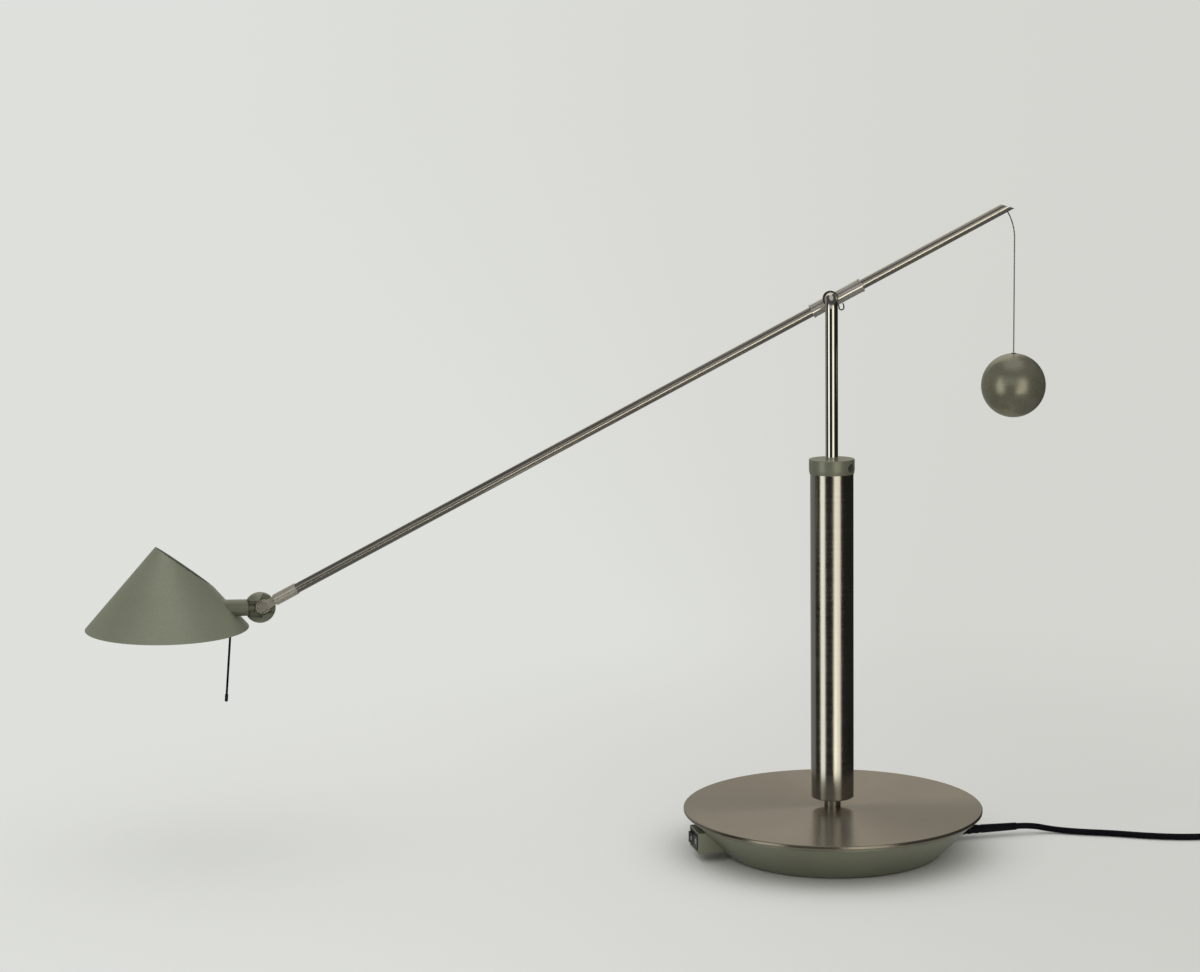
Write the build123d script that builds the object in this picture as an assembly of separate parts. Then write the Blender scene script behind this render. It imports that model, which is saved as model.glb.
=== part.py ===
from build123d import *
import os
from math import acos, atan2, cos, degrees, hypot, pi, radians, sin, sqrt, tan

# Counterweight balance desk lamp. Millimetres, +Z up. The origin is the centre of the
# base's underside, the lamp head reaches out along -X and the ball hangs on the +X side.

os.makedirs("parts", exist_ok=True)

# fits
running_fit = 0.05        # radial clearance of a turning or sliding fit
seat_fit = 0.10           # radial clearance of a piece dropped into its seat
clear_gap = 0.30          # gap between pieces of different moving bodies

# base
plate_d = 240.0           # nickelled top plate
plate_t = 3.6
plate_edge = 1.4          # bevel under the plate's edge
plate_break = 0.5         # small break on the upper edge
base_h = 35.2             # top of the plate above the table
pad_t = 1.2               # felt pad under the base
pad_r = 74.0
body_foot_r = 88.0        # painted cone, at its lower edge
body_rim_r = 115.6        # painted cone, under the plate
body_band = 1.8           # short upright band under the plate
body_wall = 3.4
body_web = 3.0
cover_t = 2.0
boss_r = 3.6
boss_ring_r = body_foot_r - 7.8
screw_count = 4
screw_d = 4.0
screw_head_d = 7.0
screw_head_t = 1.3
screw_len = 14.0
ballast_in_r = 50.0
ballast_out_r = 76.0
ballast_t = 10.0
toroid_in_r = 17.0
toroid_out_r = 44.0
toroid_pad_t = 1.0
toroid_round = 7.0
terminal_size = (36.0, 14.0, 9.0)
terminal_ring_r = 63.0
terminal_pole_d = 5.0
terminal_poles = 3

# switch in the side of the base
switch_turn = 192.0       # compass angle of the switch about the column
box_reach = body_rim_r - 0.6      # face of the switch box from the column
box_w = 28.0
box_low = 7.0
box_high = 24.0
box_wall = 1.3
box_root = body_foot_r    # inner end of the box
insert_depth = 20.0
well_depth = 8.0
rocker_w = 21.6           # across the two marked ends
rocker_h = 8.8
rocker_axle_in = 3.6      # axle behind the face
rocker_end_out = 1.3      # how far the raised ends stand in front of the face
rocker_mid_out = 0.4
rocker_tilt = 5.0         # degrees either way
axle_d = 2.4
tab_size = (7.0, 0.8, 4.8)

# spigot and its nut
spigot_d = 12.0
spigot_neck_d = 13.4
spigot_stud_d = 10.0
spigot_top = 86.0
groove_d = 10.4
ring_d = 16.0
ring_t = 1.0
nut_across = 17.0
nut_t = 8.0
washer_d = 30.0
washer_t = 1.6

# column
column_d = 34.4
column_bore_d = 30.4
column_low = 43.1
column_top = 305.7
column_break = 0.6
bearing_recess = 1.6
bearing_top = 83.0
thrust_t = 1.2
guide_low = 262.0
collar_foot_d = 35.2
collar_d = 36.2
collar_top = 317.4
collar_break = 0.4
collar_register = 6.0
set_screw_d = 6.0
set_screw_len = 9.0
set_screw_sink_d = 7.2
set_screw_z = 311.0
set_screw_turn = 322.0
hex_key = 3.0
hex_depth = 4.0

# stem, bent back at its top to make the axle
stem_d = 10.0
stem_bore_d = 5.8
stem_low = 130.0
stem_bend_r = 8.0
stem_end_y = 12.6
stop_d = 29.4
stop_h = 6.0

# pivot
pivot_z = 443.7
sleeve_face_gap = 0.3     # between the stem's end and the saddle of the sleeve
bush_reach = 6.0          # length of the hollow axle stub inside the stem
bush_bore_d = 3.2
saddle_d = 9.0
clip_wire_d = 1.1
clip_turns = 2
clip_play = 0.05
clip_pitch = 1.58
clip_start = -22.0        # the eye joins the turns at this angle about the axle
clip_eye = (8.6, -7.1)    # centre of the eye's round foot, from the axle
clip_eye_r = 1.9
clip_eye_open = 3.3       # the eye's free end stands this far above that centre

# arm
arm_turn = 27.6           # slope of the arm at rest, degrees
arm_drop = 3.0            # tube axis below the axle, so the balance is stable
tube_d = 8.0
tube_bore_d = 6.0
tip_reach = 161.2         # pointed end of the tube, towards the ball
tip_slant = 43.6          # slanted cut of the tip against the tube
sleeve_d = 10.8
sleeve_head_side = 16.0
sleeve_ball_side = 25.6
end_ring_d = 11.4
end_ring_t = 1.6
ferrule_d = 9.4
lug_len = 11.1            # from the head pivot to the ferrule
ferrule_len = 19.7
tube_in_ferrule = 15.0
arm_lead_d = 4.6
eye_reach = 516.5         # head pivot, measured along the tube from the axle
ferrule_far = eye_reach - lug_len
ferrule_near = ferrule_far - ferrule_len
eye_d = 11.6
eye_t = 4.0
lug_root_w = 6.8

# head pivot
ball_joint_d = 25.0
ball_joint_set = 3.5      # pivot screw off the centre of the ball
friction_t = 0.5
flat_back = 2.0           # milled flat in front of the ball's centre
pivot_screw_d = 4.0
pivot_screw_head_d = 8.6
pivot_screw_head_t = 1.3
pivot_screw_depth = 7.0
head_down = 40.0
head_up = 40.0

# neck and shade
neck_d = 13.4
neck_end = 8.6            # shoulder of the neck from the ball's centre
neck_spigot_d = 7.6
neck_spigot_len = 4.6
neck_bore_d = 3.0
neck_inside = 37.4        # inner end of the neck from the ball's centre
rim_r = 65.5
cone_h = 76.3             # virtual apex above the rim
shade_t = 1.0
shade_out = 75.2          # shade axis from the ball's centre
rim_drop = 16.7           # rim below the neck's axis
shade_lean = 1.15         # the shade hangs this far off level, in degrees, away from the arm
shade_roll = 0.9          # and this far towards the front
cut_slope = 37.0          # oblique cut of the top
cut_turn = 17.5
cut_from_apex = 12.6
nut_flange_d = 19.0
nut_flange_t = 3.0
nut_thread_d = 13.4

# lamp
holder_size = (13.0, 11.0, 9.0)
capsule_d = 9.4
capsule_len = 30.0
capsule_pinch = 8.0
pin_d = 0.9
pin_pitch = 4.0
pin_len = 6.0
reflector_r = 17.0
reflector_t = 0.8
reflector_rise = 8.0
reflector_lift = 8.5

# positioning rod
rod_d = 1.8
rod_root = 23.4           # from the ball's centre, at the height of the neck's axis minus rod_drop
rod_lean = 5.3
rod_drop = 77.1
rod_tip_d = 2.6
rod_tip_len = 6.0
rod_thread = 3.0

# counterweight
exit_reach = 155.2        # wire leaves the tube this far from the axle
stop_ball_d = 3.0
slot_w = 2.4
slot_head = 1.6           # slot length towards the head
slot_tip = 4.6            # and towards the tip
wire_d = 1.0
wire_bend_r = 42.0
weight_d = 51.0
weight_z = 372.0          # centre of the ball
insert_d = 4.0
insert_len = 8.0
insert_proud = 0.3

# mains lead
cord_d = 5.0
cord_turn = 12.0          # compass angle of the exit
cord_z = 7.0
gland_d = 9.4
gland_flange_d = 11.0
gland_in = 86.0
gland_out = 97.0
gland_flange_t = 1.6
relief_len = 60.0
relief_root_d = 8.0
relief_end_d = 6.0
relief_rings = 5
cord_route = [
    (153.57, 32.64, 7.0),
    (166.0, 35.28, 7.0),
    (184.0, 35.6, 3.0),
    (205.0, 28.4, 2.7),
    (231.0, 23.0, 2.7),
    (257.0, 13.6, 2.7),
    (284.0, 8.4, 2.7),
    (305.0, 9.0, 2.7),
    (322.0, 13.5, 2.7),
]
coil_turns = 4            # turns in each of the two layers
coil_mid_r = 29.5
coil_centre = (368.0, 56.0)
coil_pitch = 5.65
coil_z = 2.7
coil_tuck = 2.0           # the climbing half turn is drawn in by this much
coil_spread = 3.8         # and the first half turn above opens by this much
plug_w = 35.0
plug_t = 13.8
plug_len = 30.0
plug_neck_d = 8.0
plug_neck_len = 9.0
plug_pin_d = 4.0
plug_pin_len = 19.0
plug_pin_pitch = 18.6
tail_level = 30.0         # the tail stays on the upper layer this far
tail_turn = 12.0
plug_away = 32.0          # from there to the back of the plug

# worked out from the sizes above
arm_y = stem_end_y + sleeve_face_gap + sleeve_d / 2
arm_dir = Vector(cos(radians(arm_turn)), 0, sin(radians(arm_turn)))
arm_up = Vector(-sin(radians(arm_turn)), 0, cos(radians(arm_turn)))
pivot = Vector(0, arm_y, pivot_z)
arm_zero = pivot - arm_up * arm_drop
eye = arm_zero - arm_dir * eye_reach
flat_y = arm_y + eye_t / 2 + friction_t
knuckle = Vector(eye.X, flat_y + flat_back, eye.Z) - arm_dir * ball_joint_set
plate_low = base_h - plate_t
cover_top = pad_t + cover_t
cavity_top = plate_low - body_web
hinge_drop = tube_bore_d / 2 - stop_ball_d / 2 - running_fit
cord_exit_r = gland_out + relief_len
nothing_thin = 0.01


def turned(points):
    """A turned piece: an outline of (radius, height) pairs turned about Z."""
    return revolve(Plane.XZ * make_face(Polyline(*points, close=True)), Axis.Z)


def rod(radius, low, high):
    return Pos(0, 0, low) * Cylinder(radius, high - low, align=(Align.CENTER, Align.CENTER, Align.MIN))


def tube(outer, inner, low, high):
    return rod(outer, low, high) - rod(inner, low - 1, high + 1)


def between(start, end, radius):
    """A round bar from one point to another."""
    axis = Plane(origin=start, z_dir=end - start)
    return axis * Cylinder(radius, (end - start).length, align=(Align.CENTER, Align.CENTER, Align.MIN))


def compass(angle, piece):
    return Rot(0, 0, angle) * piece


def around(count, radius, piece):
    return [Rot(0, 0, 360 / count * (i + 0.5)) * Pos(radius, 0, 0) * piece for i in range(count)]


def along_arm(s, lift=0.0):
    return arm_zero + arm_dir * s + arm_up * lift


def arm_frame(s):
    """A plane square to the tube, its Z along the tube and its X across the swing."""
    return Plane(origin=along_arm(s), x_dir=(0, 1, 0), z_dir=arm_dir)


def arm_bar(outer, start, end, inner=0.0):
    solid = arm_frame(start) * rod(outer, 0, end - start)
    if inner > 0:
        solid -= arm_frame(start) * rod(inner, -1, end - start + 1)
    return solid


def biarc(p0, t0, p1, t1):
    """Two tangent arcs that join one point and direction to another."""
    v, t = p1 - p0, t0 + t1
    lead = 2 * (1 - t0.dot(t1))
    if lead < nothing_thin ** 2:
        d = v.dot(v) / (4 * v.dot(t1))
    else:
        d = (-v.dot(t) + sqrt(v.dot(t) ** 2 + lead * v.dot(v))) / lead
    mid = (p0 + p1 + (t0 - t1) * d) * 0.5
    turn = ((mid - p0).normalized() * (2 * (mid - p0).normalized().dot(t0)) - t0)
    return [TangentArc(p0, mid, tangent=t0), TangentArc(mid, p1, tangent=turn)]


def sweep_tube(path, diameter):
    wire = Wire(path)
    section = Plane(origin=wire @ 0, z_dir=wire % 0) * Circle(diameter / 2)
    return sweep(section, path=wire), wire.length


def save(name, piece):
    solids = piece if isinstance(piece, list) else [piece]
    shape = solids[0] if len(solids) == 1 else Compound(children=list(solids))
    shape.label = name
    export_step(shape, f"parts/{name}.step")


# ---------------------------------------------------------------- base

def cone_radius(z):
    rise = (z - pad_t) / (plate_low - body_band - pad_t)
    return body_foot_r + (body_rim_r - body_foot_r) * rise


def base_top_plate():
    r = plate_d / 2
    plate = turned([(0, plate_low), (r - plate_edge, plate_low), (r, plate_low + plate_edge),
                    (r, base_h - plate_break), (r - plate_break, base_h), (0, base_h)])
    return plate - rod(spigot_stud_d / 2 + seat_fit, 0, base_h + 1)


def base_body():
    outline = [(0, cavity_top), (cone_radius(cavity_top) - body_wall, cavity_top),
               (cone_radius(pad_t) - body_wall, pad_t), (body_foot_r, pad_t),
               (body_rim_r, plate_low - body_band), (body_rim_r, plate_low), (0, plate_low)]
    body = turned(outline)
    for boss in around(screw_count, boss_ring_r, rod(boss_r, cover_top, cavity_top + 1)):
        body += boss
    for hole in around(screw_count, boss_ring_r, rod(screw_d / 2 + seat_fit, 0, pad_t + screw_len + 1)):
        body -= hole
    body -= rod(spigot_stud_d / 2 + seat_fit, 0, base_h)
    window = Box(box_reach, box_w + 2 * seat_fit, box_high - box_low + 2 * seat_fit,
                 align=(Align.MIN, Align.CENTER, Align.CENTER))
    body -= compass(switch_turn, Pos(boss_ring_r + boss_r, 0, (box_low + box_high) / 2) * window)
    body -= compass(cord_turn, radial(gland_d / 2 + seat_fit, boss_ring_r + boss_r, plate_d, cord_z))
    seat = radial(gland_flange_d / 2 + seat_fit, gland_out - gland_flange_t, plate_d, cord_z)
    body -= compass(cord_turn, seat)
    return body


def radial(radius, start, end, z):
    """A round bar along +X at a height."""
    return Pos(start, 0, z) * Rot(0, 90, 0) * rod(radius, 0, end - start)


def bottom_cover():
    cover = rod(cone_radius(pad_t) - body_wall - clear_gap, pad_t, cover_top)
    hole = rod(screw_d / 2 + seat_fit, 0, base_h) + rod(screw_head_d / 2 + seat_fit, 0, pad_t + screw_head_t)
    for cut in around(screw_count, boss_ring_r, hole):
        cover -= cut
    return cover


def cover_screws():
    screw = rod(screw_head_d / 2, pad_t, pad_t + screw_head_t)
    screw += rod(screw_d / 2, pad_t + screw_head_t, pad_t + screw_len)
    return around(screw_count, boss_ring_r, screw)


def toroid_transformer():
    low, high = cover_top + toroid_pad_t, cavity_top - toroid_pad_t
    mid_r, mid_z = (toroid_in_r + toroid_out_r) / 2, (low + high) / 2
    section = RectangleRounded(toroid_out_r - toroid_in_r, high - low, toroid_round)
    return revolve(Plane.XZ * Pos(mid_r, mid_z) * section, Axis.Z)


def transformer_pads():
    inner, outer = toroid_in_r + toroid_round, toroid_out_r - toroid_round
    lower = tube(outer, inner, cover_top, cover_top + toroid_pad_t)
    upper = tube(outer, inner, cavity_top - toroid_pad_t, cavity_top)
    return [lower, upper]


def terminal_block():
    length, width, height = terminal_size
    block = Box(length, width, height, align=(Align.CENTER, Align.CENTER, Align.MIN))
    block = Pos(0, terminal_ring_r, cover_top + ballast_t) * block
    pitch = length / terminal_poles
    for i in range(terminal_poles):
        x = pitch * (i - (terminal_poles - 1) / 2)
        top = cover_top + ballast_t + height
        block -= Pos(x, terminal_ring_r, 0) * rod(terminal_pole_d / 2, top - height / 2, top + 1)
    return block


def switch_box():
    h = box_high - box_low
    shell = Box(box_reach - box_root, box_w, h, align=(Align.MIN, Align.CENTER, Align.CENTER))
    shell = fillet(shell.edges().filter_by(Axis.X), box_wall / 2)
    hollow = Box(box_reach, box_w - 2 * box_wall, h - 2 * box_wall, align=(Align.MIN, Align.CENTER, Align.CENTER))
    shell = Pos(box_root, 0, 0) * shell - Pos(box_root - 1, 0, 0) * hollow
    return compass(switch_turn, Pos(0, 0, (box_low + box_high) / 2) * shell)


def switch_insert():
    h = box_high - box_low - 2 * box_wall - 2 * seat_fit
    block = Box(insert_depth, box_w - 2 * box_wall - 2 * seat_fit, h, align=(Align.MAX, Align.CENTER, Align.CENTER))
    well = Box(well_depth, rocker_w + 2 * clear_gap, rocker_h + 2 * clear_gap,
               align=(Align.MAX, Align.CENTER, Align.CENTER))
    axle = Pos(-rocker_axle_in, 0, 0) * Cylinder(axle_d / 2, h)
    block = block - well - axle
    return compass(switch_turn, Pos(box_reach, 0, (box_low + box_high) / 2) * block)


def rocker():
    """The rocker with its axle, one end pressed in."""
    half = rocker_w / 2 - clear_gap
    face = Polyline((-half, rocker_end_out), (0, rocker_mid_out), (half, rocker_end_out), (half, 0))
    foot = ThreePointArc((half, 0), (0, -rocker_axle_in - axle_d), (-half, 0))
    outline = make_face(Curve() + [face, foot, Line((-half, 0), (-half, rocker_end_out))])
    key = extrude(outline, amount=rocker_h / 2, both=True)
    key = Pos(0, 0, 0) * Rot(0, 0, -90) * key
    h = box_high - box_low - 2 * box_wall - 2 * seat_fit
    key += Pos(-rocker_axle_in, 0, 0) * Cylinder(axle_d / 2 - running_fit, h)
    key = Pos(-rocker_axle_in, 0, 0) * Rot(0, 0, rocker_tilt) * Pos(rocker_axle_in, 0, 0) * key
    return compass(switch_turn, Pos(box_reach, 0, (box_low + box_high) / 2) * key)


def switch_tabs():
    length, thick, high = tab_size
    tab = Box(length, thick, high, align=(Align.MAX, Align.CENTER, Align.CENTER))
    z = (box_low + box_high) / 2
    return [compass(switch_turn, Pos(box_reach - insert_depth, y, z) * tab)
            for y in (-rocker_w / 3, 0, rocker_w / 3)]


def spigot():
    shaft = rod(spigot_stud_d / 2, cavity_top - washer_t - nut_t - 1, base_h)
    shaft += rod(spigot_neck_d / 2, base_h, column_low + bearing_recess - thrust_t)
    shaft += rod(spigot_d / 2, column_low, spigot_top)
    shaft -= tube(spigot_d, groove_d / 2, bearing_top + clear_gap, bearing_top + clear_gap + ring_t + seat_fit)
    return shaft - rod(bush_bore_d, 0, spigot_top + 1)


def spigot_nut():
    top = cavity_top - washer_t
    nut = Pos(0, 0, top - nut_t) * extrude(RegularPolygon(nut_across / 2, 6, major_radius=False), amount=nut_t)
    return nut - rod(spigot_stud_d / 2 + nothing_thin, 0, base_h)


def spigot_washer():
    return tube(washer_d / 2, spigot_stud_d / 2 + seat_fit, cavity_top - washer_t, cavity_top)


def retaining_ring():
    low = bearing_top + clear_gap
    ring = tube(ring_d / 2, groove_d / 2 + nothing_thin, low, low + ring_t)
    return ring - Pos(ring_d / 2, 0, low) * Box(ring_d / 2, groove_d / 2, base_h)


# ---------------------------------------------------------------- mains lead

def cord_gland():
    gland = radial(gland_d / 2, gland_in, gland_out, cord_z)
    gland += radial(gland_flange_d / 2, gland_out - gland_flange_t, gland_out, cord_z)
    return compass(cord_turn, gland)


def relief_start():
    return compass_point(cord_turn, gland_out, cord_z)


def compass_point(angle, radius, z):
    return Vector(radius * cos(radians(angle)), radius * sin(radians(angle)), z)


def strain_relief():
    """A tapered sleeve with shallow ribs near its root."""
    start, end = relief_start(), Vector(*cord_route[0])
    length = (end - start).length
    slope = (relief_root_d - relief_end_d) / 2 / length
    profile = [(0, 0)]
    rib = length / (4 * relief_rings)
    for i in range(relief_rings):
        z = i * 2 * rib
        r = relief_root_d / 2 - slope * z
        profile += [(r, z), (r, z + rib), (r - slope * rib - relief_end_d / 20, z + rib)]
        profile += [(r - slope * rib - relief_end_d / 20, z + 2 * rib)]
    profile += [(relief_root_d / 2 - slope * 2 * rib * relief_rings, 2 * rib * relief_rings)]
    profile += [(relief_end_d / 2, length), (0, length)]
    return Plane(origin=start, z_dir=end - start) * turned(profile)


def corner_radii(points):
    radii = []
    for a, b, c in zip(points, points[1:], points[2:]):
        u, v = b - a, c - b
        turn = radians(u.get_angle(v))
        radii.append(0.45 * min(u.length, v.length) / tan(turn / 2))
    return radii


def cord_lead():
    points = [Vector(*p) for p in cord_route]
    radii = corner_radii(points)
    path = FilletPolyline(*points, radius=radii)
    solid, length = sweep_tube(path.edges(), cord_d)
    print("cord lead radii", [round(r) for r in radii], "length", round(length, 1),
          "volume ratio", round(solid.volume / (pi * cord_d ** 2 / 4 * length), 4))
    return solid, length


def coil_stations():
    """Point and direction at each half turn: in along the lower layer, out along the upper."""
    end = Vector(*cord_route[-1])
    lead_in = (end - Vector(*cord_route[-2])).normalized()
    outer = coil_mid_r + coil_pitch * coil_turns / 2
    steps = 2 * coil_turns
    radii = [outer - coil_pitch / 2 * i for i in range(steps + 1)]
    inner = radii[-1]
    radii += [inner - coil_tuck]
    radii += [inner + coil_spread + coil_pitch / 2 * i for i in range(steps - 1)]
    heights = [coil_z] * (steps + 1) + [coil_z + coil_pitch] * steps
    stations = []
    for i, (r, z) in enumerate(zip(radii, heights)):
        a = pi * (i - 0.5)
        point = Vector(coil_centre[0] + r * cos(a), coil_centre[1] + r * sin(a), z)
        stations.append((point, Vector(-sin(a), cos(a), 0)))
    return end, lead_in, stations


def plug_place(stations):
    """The level end of the tail, the back of the plug and the way its pins point."""
    point, way = stations[-1]
    heading = Vector(way.X, way.Y, 0).rotate(Axis.Z, -tail_turn)
    level = point + way * tail_level + Vector(way.Y, -way.X, 0) * (tail_level * tan(radians(tail_turn / 2)))
    back = level + heading * plug_away
    return level, Vector(back.X, back.Y, plug_t / 2), heading


def cord_coil():
    end, lead_in, stations = coil_stations()
    straight = end + lead_in * cord_d
    path = [Line(end, straight)]
    path += biarc(straight, lead_in, *stations[0])
    for (p0, t0), (p1, t1) in zip(stations, stations[1:]):
        path += biarc(p0, t0, p1, t1)
    level, back, way = plug_place(stations)
    last = back - way * cord_d
    path += biarc(*stations[-1], level, way)
    path += biarc(level, way, last, way)
    path += [Line(last, back)]
    solid, length = sweep_tube([e for piece in path for e in piece.edges()], cord_d)
    samples = [Wire([e for piece in path for e in piece.edges()]) @ (i / 1500) for i in range(1501)]
    skip = int(1500 * 4 * cord_d / length)
    least = min((samples[i] - samples[j]).length for i in range(0, 1501, 3) for j in range(i + skip, 1501, 3))
    print("cord coil length", round(length, 1), "least gap to itself", round(least - cord_d, 2),
          "volume ratio", round(solid.volume / (pi * cord_d ** 2 / 4 * length), 4))
    return solid, length


def plug_frame():
    _, back, way = plug_place(coil_stations()[2])
    return Plane(origin=back, x_dir=Vector(-way.Y, way.X, 0), z_dir=way)


def plug_body():
    """A flat two-pin plug: a short neck that widens into a flat moulded body."""
    sections = [(0, plug_neck_d, plug_neck_d), (plug_neck_len, plug_neck_d * 1.15, plug_neck_d * 1.15),
                (plug_neck_len + plug_len * 0.4, plug_w * 0.85, plug_t), (plug_neck_len + plug_len, plug_w, plug_t)]
    faces = []
    for z, w, t in sections:
        faces.append(Pos(0, 0, z) * RectangleRounded(w, t, min(w, t) * 0.42))
    return plug_frame() * loft(faces, ruled=True)


def plug_pins():
    pins = []
    for side in (-1, 1):
        pin = rod(plug_pin_d / 2, plug_neck_len + plug_len, plug_neck_len + plug_len + plug_pin_len)
        pin = chamfer(pin.edges().sort_by(Axis.Z)[-1], plug_pin_d / 5)
        pins.append(plug_frame() * Pos(side * plug_pin_pitch / 2, 0, 0) * pin)
    return pins


# ---------------------------------------------------------------- column

def column_tube():
    out, bore = column_d / 2, column_bore_d / 2
    return turned([(bore, column_low), (out - column_break, column_low), (out, column_low + column_break),
                   (out, column_top), (bore, column_top)])


def lower_bearing():
    low = column_low + bearing_recess
    return tube(column_bore_d / 2 - running_fit / 2, spigot_d / 2 + running_fit, low, bearing_top)


def thrust_washer():
    low = column_low + bearing_recess - thrust_t
    return tube(spigot_neck_d / 2 + thrust_t, spigot_d / 2 + seat_fit, low, low + thrust_t)


def upper_guide():
    high = column_top - collar_register
    return tube(column_bore_d / 2 - running_fit / 2, stem_d / 2 + running_fit, guide_low, high)


def collar():
    foot, top = collar_foot_d / 2, collar_d / 2
    register = column_bore_d / 2 - seat_fit
    cap = turned([(0, column_top - collar_register), (register, column_top - collar_register),
                  (register, column_top), (foot, column_top), (top, column_top + collar_register / 2),
                  (top, collar_top - collar_break), (top - collar_break, collar_top), (0, collar_top)])
    cap -= rod(stem_d / 2 + running_fit, 0, collar_top + 1)
    hole = radial(set_screw_d / 2 + running_fit, 0, collar_d, set_screw_z)
    sink = radial(set_screw_sink_d / 2, stem_d / 2 + set_screw_len + 1, collar_d, set_screw_z)
    return cap - compass(set_screw_turn, hole + sink)


def set_screw():
    start = stem_d / 2 + seat_fit
    screw = radial(set_screw_d / 2, start, start + set_screw_len, set_screw_z)
    socket = extrude(RegularPolygon(hex_key / 2, 6, major_radius=False), amount=hex_depth)
    screw -= Pos(start + set_screw_len - hex_depth + nothing_thin, 0, set_screw_z) * Rot(0, 90, 0) * socket
    return compass(set_screw_turn, screw)


def stem():
    """A tube that stands in the column and is bent back at its top."""
    bend = pivot_z - stem_bend_r
    path = [Line((0, 0, stem_low), (0, 0, bend)),
            TangentArc((0, 0, bend), (0, stem_bend_r, pivot_z), tangent=(0, 0, 1)),
            Line((0, stem_bend_r, pivot_z), (0, stem_end_y, pivot_z))]
    wire = Wire([e for piece in path for e in piece.edges()])
    ring = Plane(origin=(0, 0, stem_low)) * (Circle(stem_d / 2) - Circle(stem_bore_d / 2))
    return sweep(ring, path=wire)


def stem_stop():
    return tube(stop_d / 2, stem_d / 2 + nothing_thin, stem_low, stem_low + stop_h)


def spring_clip():
    """Two turns of spring wire that grip the axle, their near end bent into an open eye."""
    r = stem_d / 2 + clip_play + clip_wire_d / 2
    y0 = stem_end_y - clip_wire_d / 2 - clear_gap
    half = clip_pitch / 2
    stations = []
    for i in range(2 * clip_turns + 1):
        a = pi * i + radians(clip_start)
        point = Vector(r * cos(a), y0 - half * (2 * clip_turns - i), pivot_z + r * sin(a))
        stations.append((point, Vector(-sin(a), 0, cos(a))))
    start, up = stations[0]
    low = Vector(clip_eye[0], start.Y, pivot_z + clip_eye[1])
    near, far = low - Vector(clip_eye_r, 0, 0), low + Vector(clip_eye_r, 0, 0)
    tip = low + Vector(clip_eye_r / 2, 0, clip_eye_open)
    tip_way = Vector(clip_eye_r / 2, 0, -clip_eye_open / 3).normalized()
    down, rise = Vector(0, 0, -1), Vector(0, 0, 1)
    path = biarc(tip, tip_way, far, down) + biarc(far, down, near, rise) + biarc(near, rise, start, up)
    for (p0, t0), (p1, t1) in zip(stations, stations[1:]):
        path += biarc(p0, t0, p1, t1)
    solid, length = sweep_tube([e for piece in path for e in piece.edges()], clip_wire_d)
    print("spring clip length", round(length, 1), "self gap", round(clip_pitch - clip_wire_d, 2))
    return solid


# ---------------------------------------------------------------- arm

def arm_sleeve():
    sleeve = arm_bar(sleeve_d / 2, -sleeve_head_side, sleeve_ball_side)
    face = stem_end_y + sleeve_face_gap
    saddle = Plane(origin=(0, face, pivot_z), z_dir=(0, 1, 0)) * rod(saddle_d / 2, 0, arm_y - face)
    sleeve = sleeve + saddle
    sleeve -= arm_bar(tube_d / 2 + running_fit, -sleeve_head_side - 1, sleeve_ball_side + 1)
    hole = Plane(origin=(0, face, pivot_z), z_dir=(0, 1, 0)) * rod(stem_bore_d / 2, -1, bush_seat())
    return sleeve - hole


def bush_seat():
    return sleeve_d / 2 - tube_d / 2 - running_fit + nothing_thin


def pivot_bush():
    face = stem_end_y + sleeve_face_gap
    plane = Plane(origin=(0, face, pivot_z), z_dir=(0, 1, 0))
    return plane * tube(stem_bore_d / 2 - running_fit, bush_bore_d / 2, -bush_reach, bush_seat())


def sleeve_rings():
    rings = []
    for start in (-sleeve_head_side - end_ring_t, sleeve_ball_side):
        rings.append(arm_bar(end_ring_d / 2, start, start + end_ring_t, tube_d / 2 + running_fit))
    return rings


def arm_tube():
    start = -ferrule_near - tube_in_ferrule
    pipe = arm_bar(tube_d / 2, start, tip_reach + tube_d, tube_bore_d / 2)
    tip = along_arm(tip_reach, -tube_d / 2)
    slope = radians(arm_turn - tip_slant)
    cutter = Plane(origin=tip, x_dir=(cos(slope), 0, sin(slope)), z_dir=(-sin(slope), 0, cos(slope)))
    pipe -= cutter * Box(10 * tube_d, 4 * tube_d, 4 * tube_d, align=(Align.CENTER, Align.CENTER, Align.MIN))
    slot = SlotCenterToCenter(slot_head + slot_tip, slot_w)
    slot_plane = Plane(origin=along_arm(exit_reach + (slot_tip - slot_head) / 2, 0), x_dir=arm_dir,
                       z_dir=arm_up * -1)
    return pipe - slot_plane * extrude(slot, amount=tube_d)


def arm_lead():
    return arm_bar(arm_lead_d / 2, -ferrule_near - tube_in_ferrule, -sleeve_head_side)


def arm_eye():
    """The ferrule on the tube's end, drawn down to a flat eye."""
    ferrule = arm_bar(ferrule_d / 2, -ferrule_far, -ferrule_near)
    ferrule -= arm_bar(tube_d / 2 + running_fit, -ferrule_near - tube_in_ferrule, 0)
    plane = Plane(origin=along_arm(0), x_dir=arm_dir, z_dir=(0, -1, 0))
    outline = make_face(Polyline((-eye_reach, -lug_root_w / 2), (-ferrule_far + 1, -lug_root_w / 2),
                                 (-ferrule_far + 1, lug_root_w / 2), (-eye_reach, lug_root_w / 2), close=True))
    lug = extrude(outline, amount=eye_t / 2, both=True)
    lug += Pos(-eye_reach, 0, 0) * Cylinder(eye_d / 2, eye_t)
    lug -= Pos(-eye_reach, 0, 0) * Cylinder(pivot_screw_d / 2 + running_fit, eye_t * 2)
    return ferrule + plane * lug


# ---------------------------------------------------------------- head

def eye_plane(y):
    """Square to the head pivot, Z pointing back from the front of the lamp."""
    return Plane(origin=(eye.X, y, eye.Z), x_dir=(1, 0, 0), z_dir=(0, 1, 0))


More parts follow.
